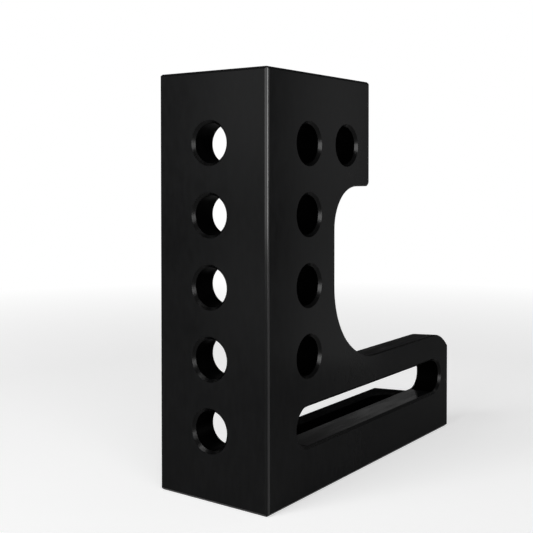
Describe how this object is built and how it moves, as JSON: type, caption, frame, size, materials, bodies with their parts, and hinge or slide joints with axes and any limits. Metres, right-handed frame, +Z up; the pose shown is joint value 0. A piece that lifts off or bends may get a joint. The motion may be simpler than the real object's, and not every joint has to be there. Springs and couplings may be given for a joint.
{
  "type": "stop and clamping angle for a welding table",
  "caption": "Cast angle with a tall bored front wall, a C-cut bored side wall with a long low slot and a slotted base flange.",
  "frame": {"origin": "middle of the footprint of the bounding box, on the table surface", "axes": "+Z up the walls, -Y out of the bored front wall, +X out of the side wall with the open C outline"},
  "size_m": [0.097, 0.2754, 0.3],
  "materials": {
    "iron": "black satin, machined outside and cast inside"
  },
  "bodies": {
    "root": {"clamping_angle": "iron"}
  },
  "joints": []
}
